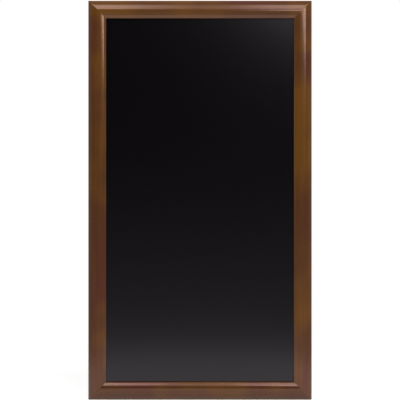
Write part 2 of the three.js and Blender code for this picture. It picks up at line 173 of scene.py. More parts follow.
class FinishColours(bpy.types.PropertyGroup):
    """Colours of the finishes"""
    wood_brown: colour_property("Wood Brown", "Main colour of the stained wood", "472b16")
    wood_red: colour_property("Wood Red", "Where the stain has gone reddish", "47251a")
    wood_olive: colour_property("Wood Olive", "Where the wood was paler under the stain", "573714")
    wood_pore: colour_property("Wood Pore", "Stain gathered in the pores", "3a2010")
    wood_bare: colour_property("Back of the Wood", "Stain without lacquer, on the back", "8f6a42")
    writing_black: colour_property("Writing Black", "Black lacquer of the writing face", "020102")
    hardboard: colour_property("Hardboard", "Pressed fibre on the back", "76553a")
    hardboard_dark: colour_property("Hardboard Fibre", "Darker fibres in it", "4b3220")
    steel: colour_property("Steel", "Points and V-nails", "a3a5a7")
    zinc: colour_property("Zinc", "Plate on the hangers", "d2d5d9")
    rubber: colour_property("Rubber", "Bumpers", "1c1c1d")


class StageSettings(bpy.types.PropertyGroup):
    """Camera, floor and lights"""
    camera_distance: length_property("Camera Distance", "From the board's outer edge", 4000)
    floor_radius: length_property("Floor Radius", "Of the round white floor", 1200)
    ambient: FloatProperty(
        name="Ambient", description="Light from all round on matt surfaces", default=0.05, min=0)


# Modelling by hand: each step selects in code and then runs the operator that a person would


def deselect_all():
    bpy.ops.object.select_all(action="DESELECT")


def select_only(obj):
    deselect_all()
    obj.select_set(True)
    bpy.context.view_layer.objects.active = obj


def delete(*objects):
    """Deletes the tools and patterns that have served."""
    for obj in objects:
        select_only(obj)
        bpy.ops.object.delete()


def start_outline(name, corners):
    """A flat filled outline in x and y: a primitive circle whose corners are moved to those given."""
    deselect_all()
    bpy.ops.mesh.primitive_circle_add(vertices=len(corners), radius=MM, fill_type="NGON")
    obj = bpy.context.active_object
    obj.name = obj.data.name = name
    for vertex, (x, y) in zip(obj.data.vertices, corners):
        vertex.co = (x, y, 0)
    return obj


def edit(obj):
    """Edit mode with everything selected."""
    select_only(obj)
    bpy.ops.object.mode_set(mode="EDIT")
    bpy.ops.mesh.select_all(action="SELECT")


def end_edit():
    """Closes the seams, turns the faces outwards and leaves edit mode."""
    bpy.ops.mesh.select_all(action="SELECT")
    bpy.ops.mesh.remove_doubles(threshold=SAME_PLACE)
    bpy.ops.mesh.select_all(action="SELECT")
    bpy.ops.mesh.normals_make_consistent(inside=False)
    bpy.ops.object.mode_set(mode="OBJECT")


def extrude(move):
    bpy.ops.mesh.extrude_region_move(TRANSFORM_OT_translate={"value": move})


def select_edges(obj, wanted):
    """Selects, in edit mode, the edges whose two ends pass the test."""
    bpy.ops.mesh.select_mode(type="EDGE")
    bpy.ops.mesh.select_all(action="DESELECT")
    mesh = bmesh.from_edit_mesh(obj.data)
    for edge in mesh.edges:
        edge.select_set(wanted(edge.verts[0].co, edge.verts[1].co))
    bmesh.update_edit_mesh(obj.data)


def apply_modifier(obj, kind, **settings):
    """Adds a modifier with its settings and applies it."""
    select_only(obj)
    bpy.ops.object.modifier_add(type=kind)
    modifier = obj.modifiers[-1]
    for key, value in settings.items():
        setattr(modifier, key, value)
    bpy.ops.object.modifier_apply(modifier=modifier.name)


def bevel_edges(obj, width, degrees=35):
    """Breaks every edge that is sharper than the angle."""
    apply_modifier(obj, "BEVEL", width=width, segments=EDGE_STEPS, limit_method="ANGLE",
                   angle_limit=math.radians(degrees))


def cut(obj, tool):
    """Takes the tool's shape out of a piece, and deletes the tool."""
    apply_modifier(obj, "BOOLEAN", operation="DIFFERENCE", solver="MANIFOLD", object=tool)
    delete(tool)


def join(objects):
    select_only(objects[0])
    for obj in objects[1:]:
        obj.select_set(True)
    bpy.ops.object.join()
    return bpy.context.active_object


def turned(name, profile, steps):
    """A profile of (radius, height) corners, from axis to axis, spun about y."""
    obj = start_outline(name, profile)
    edit(obj)
    bpy.ops.mesh.delete(type="ONLY_FACE")
    bpy.ops.mesh.select_all(action="SELECT")
    bpy.ops.mesh.spin(steps=steps, angle=2 * math.pi, center=(0, 0, 0), axis=(0, 1, 0))
    bpy.ops.mesh.select_all(action="SELECT")
    bpy.ops.mesh.remove_doubles(threshold=SEAM_GAP)
    bpy.ops.mesh.delete_loose(use_verts=True, use_edges=True, use_faces=False)
    end_edit()
    return obj


def hole_tool(radius, low, high, steps):
    """A round pin along y, between two heights, that cuts a hole."""
    return turned("hole", [(0, low), (radius, low), (radius, high), (0, high)], steps)


def cap_radius(run, rise):
    """Radius of an arc that is level at its crest and falls by the rise over the run."""
    return (run ** 2 + rise ** 2) / (2 * rise)


def arc(centre, radius, start, end, steps):
    """Points along an arc, both ends included, with angles in radians."""
    turns = (start + (end - start) * i / steps for i in range(steps + 1))
    return [Vector((centre[0] + radius * math.cos(t), centre[1] + radius * math.sin(t))) for t in turns]


def strip_outline(line, thickness):
    """Outline of a bent strip, with half its thickness on each side of its middle line."""
    runs = [(b - a).normalized() for a, b in zip(line, line[1:])]
    normals = [Vector((-run.y, run.x)) for run in runs]

    def side(offset):
        points = []
        for i, point in enumerate(line):
            before, after = normals[max(i - 1, 0)], normals[min(i, len(normals) - 1)]
            points.append(point + (before + after) * (offset / (1 + before.dot(after))))
        return points

    return side(thickness / 2) + side(-thickness / 2)[::-1]


def rounded_line(corners, radius, steps):
    """A bent middle line, with an arc of the radius at each corner between its ends."""
    line = [corners[0]]
    for before, corner, after in zip(corners, corners[1:], corners[2:]):
        arrives, leaves = (corner - before).normalized(), (after - corner).normalized()
        turn = math.atan2(arrives.cross(leaves), arrives.dot(leaves))
        first = corner - arrives * radius * math.tan(abs(turn) / 2)
        inwards = Vector((-arrives.y, arrives.x)) * math.copysign(radius, turn)
        angle = math.atan2(-inwards.y, -inwards.x)
        line += arc(first + inwards, radius, angle, angle + turn, steps)
    return line + [corners[-1]]


# Seating on the frame


def rail_frame(rail):
    """The rail's own frame: x inwards from its outer edge, y from its back to the wall, z along it."""
    turn = Matrix.Rotation(QUARTER_TURNS[rail] * math.pi / 2, 4, "Y")
    half = HALF_WIDTH if rail.endswith("stile") else HALF_HEIGHT
    return Matrix.Translation(turn @ Vector((-half, 0, 0)) + Vector((0, BACK, 0))) @ turn


def rail_length(rail):
    return 2 * (HALF_HEIGHT if rail.endswith("stile") else HALF_WIDTH)


def point_nodes(rail):
    """The framer's points that are driven into a rail."""
    return sorted(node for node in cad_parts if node.startswith(f"{rail}_point"))


def mesh_box(obj):
    corners = [vertex.co for vertex in obj.data.vertices]
    return (Vector([min(c[i] for c in corners) for i in range(3)]),
            Vector([max(c[i] for c in corners) for i in range(3)]))


def seat(obj, rail, node):
    """Turns a piece with its rail and brings the middle of its box to the middle of the node's."""
    select_only(obj)
    obj.data.transform(rail_frame(rail).to_3x3().to_4x4())
    low, high = mesh_box(obj)
    node_low, node_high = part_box(node)
    obj.location = (node_low + node_high - low - high) / 2
    bpy.ops.object.transform_apply(location=True, rotation=True, scale=True)
    return obj


def copy_piece(obj, name):
    select_only(obj)
    bpy.ops.object.duplicate(linked=False)
    made = bpy.context.active_object
    made.name = made.data.name = name
    return made


def finish_piece(obj, node, material=None, body="board"):
    """Checks that a piece is closed and lies where its node does, and puts it on its body. A rail
    comes with its own two materials."""
    shape = bmesh.new()
    shape.from_mesh(obj.data)
    open_edges = sum(not edge.is_manifold for edge in shape.edges)
    shape.free()
    if open_edges:
        raise RuntimeError(f"{obj.name} isn't closed: {open_edges} open edges")
    for ours, theirs in zip(mesh_box(obj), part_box(node)):
        if (ours - theirs).length > SEAT_TOLERANCE:
            raise RuntimeError(f"{obj.name} isn't where {node} is: {ours} and {theirs}")
    obj.name = obj.data.name = f"{node}_finished"
    if material:
        obj.data.materials.clear()
        obj.data.materials.append(material)
    select_only(obj)
    bpy.ops.object.shade_smooth_by_angle(angle=SHARP_ANGLE)
    apply_modifier(obj, "WEIGHTED_NORMAL", keep_sharp=True)
    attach(obj, body)
    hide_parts(node)


def finish_copy(pattern, rail, node, material, body="board"):
    """Seats a copy of a modelled piece in its rail, where the node is, and finishes it."""
    finish_piece(seat(copy_piece(pattern, node), rail, node), node, material, body)


# Finishes

# Roughness where the wood's figure is dark and where it is pale, height of the relief, and tint of
# the sheen. Stain that the lacquer has taken up warms its reflections.
LACQUERED = (0.19, 0.15, 0.045 * MM, (1.0, 0.64, 0.56, 1.0))
UNLACQUERED = (0.72, 0.6, 0.08 * MM, (1.0, 1.0, 1.0, 1.0))
BARE_SHARE = 0.7  # how far the wood's colour goes towards that of the unlacquered back
PORE_STAIN = 0.4  # how far it goes towards that of the pores in them
PORE_DEPTH = 0.12  # of a pore, as a share of the relief
NODE_SPACING = 180  # between the middles of two nodes in the editor


def add_node(tree, kind, inputs, **settings):
    """Adds a node whose inputs are values or, where they are sockets, links. Gives its outputs."""
    made = tree.nodes.new("ShaderNode" + kind)
    made.location = (NODE_SPACING * len(tree.nodes), 0)
    for key, value in settings.items():
        setattr(made, key, value)
    for key, value in inputs.items():
        if isinstance(value, bpy.types.NodeSocket):
            tree.links.new(value, made.inputs[key])
        else:
            made.inputs[key].default_value = value
    return made.outputs


def new_material(name):
    """A material without nodes, with its tree."""
    material = bpy.data.materials.new(name)
    material.use_nodes = True
    material.node_tree.nodes.clear()
    return material, material.node_tree


def opaque(colour):
    return [*colour, 1]


def end_material(tree, relief, height, inputs):
    """Ends a material with its shader, whose surface has a relief of a height."""
    bump = add_node(tree, "Bump", {"Height": relief, "Distance": height, "Strength": 1.0})[0]
    shader = add_node(tree, "BsdfPrincipled", {**inputs, "Normal": bump})[0]
    add_node(tree, "OutputMaterial", {"Surface": shader})


def stained_wood(name, colours, along_z, lacquered):
    """Close-grained hardwood in a wiped walnut stain. The wiping leaves clouds of red and olive brown
    along the grain and darker pores. Satin lacquer on the face gives soft, slightly wavy reflections."""
    material, tree = new_material(name)
    here = add_node(tree, "TexCoord", {})["Object"]
    turn = (0, 0, 0) if along_z else (0, math.pi / 2, 0)
    at = add_node(tree, "Mapping", {"Vector": here, "Rotation": turn})[0]

    def pattern(across, along, detail, low, high, shift):
        """Noise in cells of a width and a length, stretched from between two of its levels. The shift
        says where in the noise it is taken."""
        scale = (1 / across, 1 / across, 1 / along)
        place = add_node(tree, "Mapping", {"Vector": at, "Scale": scale, "Location": (shift,) * 3})[0]
        noise = add_node(tree, "TexNoise", {"Vector": place, "Scale": 1.0, "Detail": detail,
                                            "Roughness": 0.55})[0]
        return add_node(tree, "MapRange", {"Value": noise, "From Min": low, "From Max": high},
                        interpolation_type="SMOOTHSTEP")[0]

    def blend(factor, first, second):
        return add_node(tree, "Mix", {0: factor, 6: first, 7: second}, data_type="RGBA")[2]

    # The clouds lie where the noise puts them: these shifts bring them near those in the photograph
    red_shift, pale_shift = (11.2, 38.5) if along_z else (7.0, 2.1)
    reddish = pattern(60 * MM, 240 * MM, 2, 0.44, 0.66, red_shift)
    paler = pattern(300 * MM, 200 * MM, 2, 0.5, 0.66, pale_shift)
    figure = pattern(4 * MM, 220 * MM, 3, 0.3, 0.7, 2.1)
    pores = pattern(0.45 * MM, 9 * MM, 1, 0.6, 0.74, 4.7)
    colour = blend(reddish, opaque(colours.wood_brown), opaque(colours.wood_red))
    colour = blend(paler, colour, opaque(colours.wood_olive))
    if not lacquered:
        colour = blend(BARE_SHARE, colour, opaque(colours.wood_bare))
    darker = add_node(tree, "MapRange", {"Value": figure, "To Min": 0.88, "To Max": 1.1})[0]
    colour = add_node(tree, "VectorMath", {0: colour, "Scale": darker}, operation="SCALE")[0]
    pore_share = add_node(tree, "Math", {0: pores, 1: PORE_STAIN}, operation="MULTIPLY")[0]
    colour = blend(pore_share, colour, opaque(colours.wood_pore))

    rough_dark, rough_pale, height, sheen = LACQUERED if lacquered else UNLACQUERED
    rough = add_node(tree, "MapRange", {"Value": figure, "To Min": rough_dark, "To Max": rough_pale})[0]
    wave = pattern(7 * MM, 24 * MM, 2, 0.0, 1.0, 9.9)
    relief = add_node(tree, "Math", {0: pores, 1: -PORE_DEPTH, 2: wave}, operation="MULTIPLY_ADD")[0]
    end_material(tree, relief, height, {"Base Color": colour, "Roughness": rough, "IOR": 1.55,
                                        "Specular Tint": sheen})
    return material


PEEL_CELL = 6 * MM  # of the sprayed lacquer's orange peel
GRIT_CELL = 0.9 * MM  # of the grit that takes the chalk, drawn this coarse so that it shows
GRIT_SHARE = 0.2  # of the grit, against the orange peel, in the relief
VIOLET_SHEEN = (1.0, 0.93, 1.0, 1.0)  # the pigment turns what the lacquer reflects faintly violet


def writing_lacquer(colours):
    """Black sprayed writing lacquer. It is near black with a soft sheen, and the spray's orange peel
    breaks up what it reflects."""
    material, tree = new_material("black writing lacquer")
    here = add_node(tree, "TexCoord", {})["Object"]
    peel = add_node(tree, "TexNoise", {"Vector": here, "Scale": 1 / PEEL_CELL, "Detail": 2.0})[0]
    grit = add_node(tree, "TexNoise", {"Vector": here, "Scale": 1 / GRIT_CELL, "Detail": 1.0})[0]
    relief = add_node(tree, "Math", {0: grit, 1: GRIT_SHARE, 2: peel}, operation="MULTIPLY_ADD")[0]
    rough = add_node(tree, "MapRange", {"Value": peel, "To Min": 0.17, "To Max": 0.21})[0]
    end_material(tree, relief, 0.06 * MM, {
        "Base Color": opaque(colours.writing_black), "Roughness": rough, "IOR": 1.45,
        "Specular Tint": VIOLET_SHEEN})
    return material


WAVE_STRETCH = 20  # a wave texture of scale 1 repeats every 2 pi / 20
SCREEN_PITCH = 2.4 * MM  # of the wire screen's print, drawn this coarse so that it shows
FIBRE_SIZE = (0.6 * MM, 1 * MM, 2 * MM)  # of the matted fibres, drawn coarse for the same reason
FIBRE_SLANT = 0.4  # turn of the fibres out of the upright, in radians
FIBRE_SHARE = 0.6  # of the fibres, against the screen's print, in the relief


def pressed_hardboard(colours):
    """Wet-pressed hardboard, seen from its screen side: brown matted fibre with the print of the
    wire screen."""
    material, tree = new_material("pressed hardboard")
    here = add_node(tree, "TexCoord", {})["Object"]
    fibre_place = add_node(tree, "Mapping", {"Vector": here, "Rotation": (0, FIBRE_SLANT, 0),
                                             "Scale": [1 / side for side in FIBRE_SIZE]})[0]
    fibre = add_node(tree, "TexNoise", {"Vector": fibre_place, "Scale": 1.0, "Detail": 3.0,
                                        "Distortion": 1.2})[0]
    cloud = add_node(tree, "TexNoise", {"Vector": here, "Scale": 1 / (45 * MM), "Detail": 3.0})[0]
    wires = 2 * math.pi / WAVE_STRETCH / SCREEN_PITCH
    rows = [add_node(tree, "TexWave", {"Vector": here, "Scale": wires}, bands_direction=axis)[1]
            for axis in ("X", "Z")]
    screen = add_node(tree, "Math", {0: rows[0], 1: rows[1]}, operation="MULTIPLY")[0]
    dark = add_node(tree, "MapRange", {"Value": fibre, "From Min": 0.5, "From Max": 0.8,
                                       "To Max": 0.7})[0]
    colour = add_node(tree, "Mix", {0: dark, 6: opaque(colours.hardboard),
                                    7: opaque(colours.hardboard_dark)}, data_type="RGBA")[2]
    shade = add_node(tree, "MapRange", {"Value": cloud, "From Min": 0.3, "From Max": 0.7,
                                        "To Min": 0.88, "To Max": 1.1})[0]
    colour = add_node(tree, "VectorMath", {0: colour, "Scale": shade}, operation="SCALE")[0]
    relief = add_node(tree, "Math", {0: fibre, 1: FIBRE_SHARE, 2: screen}, operation="MULTIPLY_ADD")[0]
    end_material(tree, relief, 0.12 * MM, {"Base Color": colour, "Roughness": 0.85})
    return material


def plain_metal(name, colour, smoothest, roughest, streak, relief):
    """Bare metal sheet or wire. Its roughness wanders in streaks of a size, along the rolling."""
    material, tree = new_material(name)
    here = add_node(tree, "TexCoord", {})["Object"]
    place = add_node(tree, "Mapping", {"Vector": here, "Scale": [1 / side for side in streak]})[0]
    marks = add_node(tree, "TexNoise", {"Vector": place, "Scale": 1.0, "Detail": 3.0})[0]
    rough = add_node(tree, "MapRange", {"Value": marks, "From Min": 0.3, "From Max": 0.7,
                                        "To Min": smoothest, "To Max": roughest})[0]
    shade = add_node(tree, "MapRange", {"Value": marks, "From Min": 0.3, "From Max": 0.7,
                                        "To Min": 0.85, "To Max": 1.05})[0]
    tint = add_node(tree, "VectorMath", {0: list(colour), "Scale": shade}, operation="SCALE")[0]
    end_material(tree, marks, relief, {"Base Color": tint, "Metallic": 1.0, "Roughness": rough})
    return material


def moulded_rubber(colours):
    """Black moulded rubber, matt with a fine grain from its mould and a faint bloom."""
    material, tree = new_material("moulded rubber")
    here = add_node(tree, "TexCoord", {})["Object"]
    grain = add_node(tree, "TexNoise", {"Vector": here, "Scale": 1 / (0.4 * MM), "Detail": 2.0})[0]
    bloom = add_node(tree, "TexNoise", {"Vector": here, "Scale": 1 / (5 * MM), "Detail": 2.0})[0]
    shade = add_node(tree, "MapRange", {"Value": bloom, "To Min": 0.7, "To Max": 1.5})[0]
    tint = add_node(tree, "VectorMath", {0: list(colours.rubber), "Scale": shade},
                    operation="SCALE")[0]
    end_material(tree, grain, 0.04 * MM, {"Base Color": tint, "Roughness": 0.7})
    return material


# The frame's rails


ARRIS_STEPS = 3  # facets of each rounded edge on the back


class Moulding:
    """The section of the moulding as a formula: two arcs that meet at the crest, and their ends."""

    def __init__(self, sizes):
        self.sizes = sizes
        self.crest = sizes.crest_share * RAIL_WIDTH
        run = RAIL_WIDTH - self.crest
        self.outer_radius = cap_radius(self.crest, RAIL_DEPTH - sizes.edge_height)
        self.inner_radius = cap_radius(run, RAIL_DEPTH - sizes.rebate_depth - sizes.lip_thickness)
        self.outer_centre = Vector((self.crest, RAIL_DEPTH - self.outer_radius))
        self.inner_centre = Vector((self.crest, RAIL_DEPTH - self.inner_radius))
        edge = sizes.edge_radius
        rise = math.sqrt((self.outer_radius - edge) ** 2 - (self.crest - edge) ** 2)
        self.edge_centre = Vector((edge, self.outer_centre.y + rise))
        self.edge_turn = math.atan2(rise, edge - self.crest)
        sight = sizes.sight_radius
        rise = math.sqrt((self.inner_radius - sight) ** 2 - (run - sight) ** 2)
        self.sight_centre = Vector((RAIL_WIDTH - sight, self.inner_centre.y + rise))
        self.sight_turn = math.atan2(rise, run - sight)

    def outline(self):
        """Its corners in the rail's own x and y, round from the outer side over the crest."""
        sizes, right = self.sizes, math.pi / 2
        back_edge, arris = RAIL_WIDTH - sizes.rebate_width, sizes.arris_radius
        front = arc(self.edge_centre, sizes.edge_radius, 2 * right, self.edge_turn, sizes.rounding_steps)
        front += arc(self.outer_centre, self.outer_radius, self.edge_turn, right, sizes.slope_steps)[1:]
        front += arc(self.inner_centre, self.inner_radius, right, self.sight_turn, sizes.slope_steps)[1:]
        front += arc(self.sight_centre, sizes.sight_radius, self.sight_turn, 0, sizes.rounding_steps)[1:]
        rebate = [Vector((RAIL_WIDTH, sizes.rebate_depth)), Vector((back_edge, sizes.rebate_depth))]
        inner_arris = arc((back_edge - arris, arris), arris, 0, -right, ARRIS_STEPS)
        outer_arris = arc((arris, arris), arris, -right, -2 * right, ARRIS_STEPS)
        return [(p.x, -p.y) for p in front + rebate + inner_arris + outer_arris]

    def outer_normal(self, x, height):
        """The section's normal at a point outside the crest and in front of the back's arris."""
        if height < self.sizes.arris_radius or x > self.crest:
            return None
        if height < self.edge_centre.y:
            return Vector((-1, 0))
        towards_edge = Vector((x, height)) - self.edge_centre
        if math.atan2(towards_edge.y, towards_edge.x) >= self.edge_turn:
            return towards_edge.normalized()
        return (Vector((x, height)) - self.outer_centre).normalized()


# Rows of points beside each mitre, as shares of the easing's radius from the plane of the joint
MITRE_ROW_SHARES = (0.013, 0.027, 0.043, 0.067, 0.1, 0.14, 0.183, 0.233, 0.293, 0.36)
SIDE_EASING_SHARE = 0.35  # how round the mitre is on the outer side, where it is only broken


def ease_mitres(obj, moulding, half_length):
    """Rounds the ridge along which the outer slopes of two rails meet, as sanding the frame does."""
    ridge_along = math.sqrt(0.5)
    for vertex in obj.data.vertices:
        x, y, z = vertex.co
        flat = moulding.outer_normal(x, -y)
        if flat is None:
            continue
        distance = max((half_length - abs(z) - x) * ridge_along, 0)
        normal = Vector((flat.x, -flat.y, 0))
        joint = Vector((1, 0, math.copysign(1, z))) * ridge_along
        sine = -normal.dot(joint)
        cosine = math.sqrt(1 - sine ** 2)
        radius = moulding.sizes.mitre_radius * max(flat.y, SIDE_EASING_SHARE)
        reach = radius * sine / cosine
        run = distance / cosine
        if sine <= 0 or run >= reach:
            continue
        if distance < SAME_PLACE:
            down = -(normal + joint * sine) / cosine
            vertex.co += down * (radius / cosine - radius)
        else:
            vertex.co -= normal * (radius - math.sqrt(radius ** 2 - (reach - run) ** 2))


def model_rail(rail, moulding):
    """One rail: its section extruded, mitred at both ends and eased at the mitres."""
    length = rail_length(rail)
    glue = moulding.sizes.mitre_gap * math.sqrt(0.5)
    obj = start_outline(rail, moulding.outline())
    edit(obj)
    bpy.ops.transform.translate(value=(0, 0, -length / 2))
    extrude((0, 0, length))
    for end in (-1, 1):
        for distance in [0] + [share * moulding.sizes.mitre_radius * math.sqrt(2)
                               for share in MITRE_ROW_SHARES]:
            bpy.ops.mesh.select_all(action="SELECT")
            bpy.ops.mesh.bisect(plane_co=(0, 0, end * (length / 2 - glue - distance)),
                                plane_no=(1, 0, end), use_fill=distance == 0,
                                clear_outer=distance == 0)
    end_edit()
    ease_mitres(obj, moulding, length / 2 - glue)
    select_only(obj)
    obj.matrix_world = rail_frame(rail)
    bpy.ops.object.transform_apply(location=True, rotation=True, scale=True)
    return obj


SKIN = 0.05 * MM  # how far a facet of a face may lie behind it
LOOKS_ACROSS = 0.5  # share of a facet's normal from which it is part of a side
LOOKS_FORWARD = 0.1  # and of the front
LOOKS_ALONG = 0.6  # from this share along the rail it is part of a mitre's cut


def split_finish(obj, rail, moulding, materials):
    """Lacquer on the face and the outer side, bare stain on the back, in the rebate and in cuts."""
    obj.data.materials.clear()
    for material in materials:
        obj.data.materials.append(material)
    inverse = rail_frame(rail).inverted()
    turn = inverse.to_3x3()
    front = moulding.sizes.rebate_depth + 2 * SKIN
    for face in obj.data.polygons:
        place, normal = inverse @ face.center, turn @ face.normal
        on_side = normal.x < -LOOKS_ACROSS and place.x < SKIN
        on_sight_edge = normal.x > LOOKS_ACROSS and place.x > RAIL_WIDTH - SKIN
        on_face = normal.y < -LOOKS_FORWARD and -place.y > front and abs(normal.z) < LOOKS_ALONG
        face.material_index = 0 if on_side or on_sight_edge or on_face else 1


# Hardware


# Facets of the small bends
NAIL_STEPS = 5
FOLD_STEPS = 28
BEND_STEPS = 8
CORNER_STEPS = 10
BOW_STEPS = 40
SLOT_OVERRUN = 1 * MM  # how far a V-nail's slot runs on past each of its ends


def model_point(sizes, gap=0.0):
    """A framer's point: a flat plate, tapered where it goes into the wood. With a gap it is the tool
    that cuts its slot, which is open at the wall of the rebate."""
    low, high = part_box("left_stile_point_1")
    length, thickness, width = high - low
    half, tail = width / 2 + gap, length + gap
    corner = sizes.point_corner
    tip = [(-gap, gap), (-gap, -gap)] if gap else [(0, 0)]
    outline = tip + [(sizes.point_tip, -half), (tail - corner, -half), (tail, corner - half),
                     (tail, half - corner), (tail - corner, half), (sizes.point_tip, half)]
    obj = start_outline("framers point", outline)
    edit(obj)
    extrude((0, 0, thickness + 2 * gap))
    end_edit()
    obj.data.transform(Matrix.Rotation(math.pi / 2, 4, "X"))
    if not gap:
        bevel_edges(obj, sizes.steel_edge)
    return obj


def model_v_nail(sizes, gap=0.0):
    """A V-nail: a folded strip with hooked ends. With a gap it is the tool that cuts its slot."""
    low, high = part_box("top_left_outer_v_nail")
    leg, hook = sizes.nail_leg, (sizes.nail_hook + gap) * math.sqrt(0.5)
    corners = [(-leg - hook, hook), (-leg, 0), (0, 0), (0, -leg), (hook, -leg - hook)]
    line = rounded_line([Vector(corner) for corner in corners], sizes.nail_fold_radius, NAIL_STEPS)
    obj = start_outline("v nail", strip_outline(line, sizes.nail_thickness + 2 * gap))
    edit(obj)
    overrun = SLOT_OVERRUN if gap else 0
    extrude((0, 0, high.y - low.y + 2 * overrun))
    end_edit()
    obj.data.transform(Matrix.Rotation(-math.pi / 2, 4, "X"))
    if not gap:
        bevel_edges(obj, sizes.steel_edge)
    return obj


def model_strap(sizes):
    """The strap of a hanger: one strip folded double round the bar, with a round-cornered tongue."""
    gauge, wire = sizes.strap_gauge, sizes.wire_diameter / 2
    fold = wire + sizes.bar_play + gauge
    double = 2 * gauge + sizes.strap_gap
    low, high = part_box("top_left_hanger_strap")
    width = high.x - low.x
    around = arc((0, fold), fold - gauge / 2, -math.pi / 2, -math.pi * 3 / 2 - sizes.fold_angle,
                 FOLD_STEPS)
    leaves, top = around[-1], double - gauge / 2
    knee = Vector((leaves.x + (leaves.y - top) / math.tan(sizes.fold_angle), top))
    lies = rounded_line([leaves, knee, Vector((sizes.strap_reach, top))], sizes.strap_bend, BEND_STEPS)
    line = [Vector((sizes.strap_reach, gauge / 2))] + around + lies[1:]
    obj = start_outline("strap", strip_outline(line, gauge))
    edit(obj)
    bpy.ops.transform.translate(value=(0, 0, -width / 2))
    extrude((0, 0, width))
    select_edges(obj, lambda a, b: min(a.x, b.x) > sizes.strap_reach - ON_END
                 and abs(a.z + b.z) > width - ON_END)
    bpy.ops.mesh.bevel(offset=sizes.strap_corner, segments=CORNER_STEPS, affect="EDGES", profile=0.5)
    end_edit()
    tool = hole_tool(sizes.screw_shank / 2 + 2 * sizes.tool_gap, -double, 2 * double, sizes.turned_steps)
    screw_place = (fold + sizes.ring_depth) / 2
    tool.data.transform(Matrix.Translation((screw_place, 0, 0)))
    cut(obj, tool)
    bevel_edges(obj, sizes.steel_edge, degrees=50)
    return obj


def model_ring(sizes):
    """The D-ring: round wire led along its bar, legs and bow by extruding and spinning its section."""
    radius, half, corner = sizes.wire_diameter / 2, sizes.ring_width / 2, sizes.ring_corner
    leg = sizes.ring_depth - half
    bar = half - corner - sizes.ring_butt_gap / 2
    obj = start_outline("d ring", arc((0, 0), radius, 0, 2 * math.pi, sizes.wire_steps)[:-1])
    edit(obj)
    bpy.ops.transform.translate(value=(0, 0, sizes.ring_butt_gap / 2))
    extrude((0, 0, bar))
    bends = [((-corner, 0, half - corner), math.pi / 2, CORNER_STEPS),
             ((-leg, 0, 0), math.pi, BOW_STEPS),
             ((-corner, 0, corner - half), math.pi / 2, CORNER_STEPS)]
    runs = [(corner - leg, 0, 0), (leg - corner, 0, 0), (0, 0, bar)]
    for (centre, angle, steps), run in zip(bends, runs):
        bpy.ops.mesh.spin(steps=steps, angle=angle, center=centre, axis=(0, 1, 0))
        extrude(run)
    end_edit()
    bevel_edges(obj, sizes.wire_end, degrees=60)
    fold = radius + sizes.bar_play + sizes.strap_gauge
    lean = math.asin((fold - radius - sizes.ring_rest_gap) / sizes.ring_depth)
    obj.data.transform(Matrix.Rotation(lean, 4, "Z"))
    return obj


THREAD_ROWS = 10  # rows of points along one turn of the thread
FLANK_SLOPE = 2.4  # the groove has its full depth from 1 / 2.4 of a turn beside its crest
DOME_STEPS = 10  # facets of the head's dome
RECESS_TAPER = 0.5  # width of the cross at its floor, as a share of that at the top
RECESS_LIFT = 0.05 * MM  # how far above the dome its tool starts


def cut_thread(obj, sizes):
    """Sinks the shank between the crests of its helix, as far along as the thread runs."""
    groove = 1 - sizes.screw_core / sizes.screw_shank
    for vertex in obj.data.vertices:
        x, y, z = vertex.co
        if y > -sizes.screw_plain or math.hypot(x, z) < ON_END:
            continue
        turn = (math.atan2(z, x) / (2 * math.pi) + y / sizes.screw_pitch) % 1
        sunk = 1 - groove * min(1, FLANK_SLOPE * min(turn, 1 - turn))
        vertex.co = (x * sunk, y, z * sunk)


def model_screw(sizes):
    """A pan-head screw with a tapered cross recess. The underside of its head is at y = 0."""
    head, edge, length = sizes.screw_head / 2, sizes.screw_edge, sizes.screw_length
    low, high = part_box("top_left_hanger_screw")
    tall = high.y - low.y - length
    dome = cap_radius(head, tall - sizes.screw_rim)
    dome_turn = math.atan2(sizes.screw_rim - tall + dome, head)
    rows = round(THREAD_ROWS * length / sizes.screw_pitch)
    profile = [Vector((0, -length))]
    for row in range(1, rows + 1):
        rise = length * row / rows
        taper = min(1, rise / sizes.screw_point)
        profile.append(Vector((sizes.screw_shank / 2 * taper, rise - length)))
    profile += [Vector((head - edge, 0)), Vector((head, edge))]
    profile += arc((0, tall - dome), dome, dome_turn, math.pi / 2, DOME_STEPS)
    obj = turned("screw", profile, sizes.turned_steps)
    cut_thread(obj, sizes)
    arm, reach = sizes.recess_width / 2, sizes.recess_span / 2
    cross = [(arm, reach), (-arm, reach), (-arm, arm), (-reach, arm), (-reach, -arm), (-arm, -arm),
             (-arm, -reach), (arm, -reach), (arm, -arm), (reach, -arm), (reach, arm), (arm, arm)]
    tool = start_outline("recess", cross)
    edit(tool)
    extrude((0, 0, -sizes.recess_depth))
    bpy.ops.transform.resize(value=(RECESS_TAPER, RECESS_TAPER, 1))
    end_edit()
    tool.data.transform(Matrix.Rotation(-math.pi / 2, 4, "X"))
    tool.data.transform(Matrix.Translation((0, tall + RECESS_LIFT, 0)))
    cut(obj, tool)
    return obj


def model_bumper(sizes):
    """A moulded bumper: a low tapered drum with a rounded face and a foot that spreads a little."""
    low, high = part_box("upper_left_bumper")
    height, foot = high.y - low.y, (high.x - low.x) / 2
    edge, foot_edge = sizes.bumper_edge, sizes.foot_edge
    profile = [Vector((0, 0)), Vector((foot - foot_edge, 0)), Vector((foot, foot_edge)),
               Vector((foot - sizes.foot_spread, sizes.foot_height))]
    profile += arc((sizes.bumper_face / 2 - edge, height - edge), edge, 0, math.pi / 2, BEND_STEPS)
    profile.append(Vector((0, height)))
    return turned("bumper", profile, sizes.turned_steps)


# The two boards of the writing panel, with how far their cut edges are broken
PANEL_EDGES = {"writing_sheet": 0.15 * MM, "hardboard_core": 0.3 * MM}


